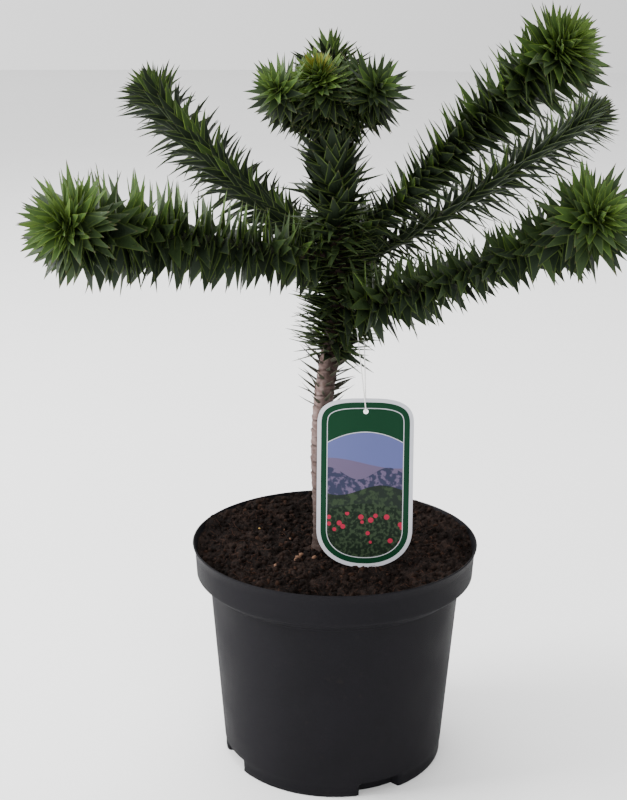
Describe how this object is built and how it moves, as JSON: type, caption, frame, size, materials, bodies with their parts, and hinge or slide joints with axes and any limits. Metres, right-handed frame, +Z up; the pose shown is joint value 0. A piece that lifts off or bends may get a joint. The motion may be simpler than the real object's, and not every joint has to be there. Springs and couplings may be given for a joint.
{
  "type": "potted young monkey puzzle tree",
  "caption": "Young monkey puzzle tree with a bent trunk, a whorl of spiny leafy boughs and a tufted top, in a round nursery pot with soil and a plain hanging label.",
  "frame": {"origin": "centre of the pot's flat underside, where the pot stands", "axes": "+Z up along the pot; -Y towards the viewer of the plant's front, where the label hangs; +X to that viewer's right"},
  "size_m": [0.4557, 0.3398, 0.5898],
  "materials": {
    "pot_plastic": "matt charcoal plastic",
    "soil": "damp crumbly peat",
    "bark": "young ringed bark",
    "leaves": "stiff leathery leaves with a soft gloss",
    "label": "printed plastic sheet",
    "tie": "thin white thread"
  },
  "bodies": {
    "root": {"pot": "pot_plastic", "potting_soil": "soil", "trunk": "bark", "bough_left_front": "bark", "bough_left_back": "bark", "bough_back": "bark", "bough_right_back": "bark", "bough_right_high": "bark", "bough_right_front": "bark", "foliage_left_front": "leaves", "foliage_left_back": "leaves", "foliage_back": "leaves", "foliage_right_back": "leaves", "foliage_right_high": "leaves", "foliage_right_front": "leaves", "foliage_whorl": "leaves", "foliage_leader": "leaves", "foliage_crown_centre": "leaves", "foliage_crown_left": "leaves", "foliage_crown_right": "leaves", "foliage_crown_back": "leaves", "hang_label": "label", "label_tie": "tie"}
  },
  "joints": []
}
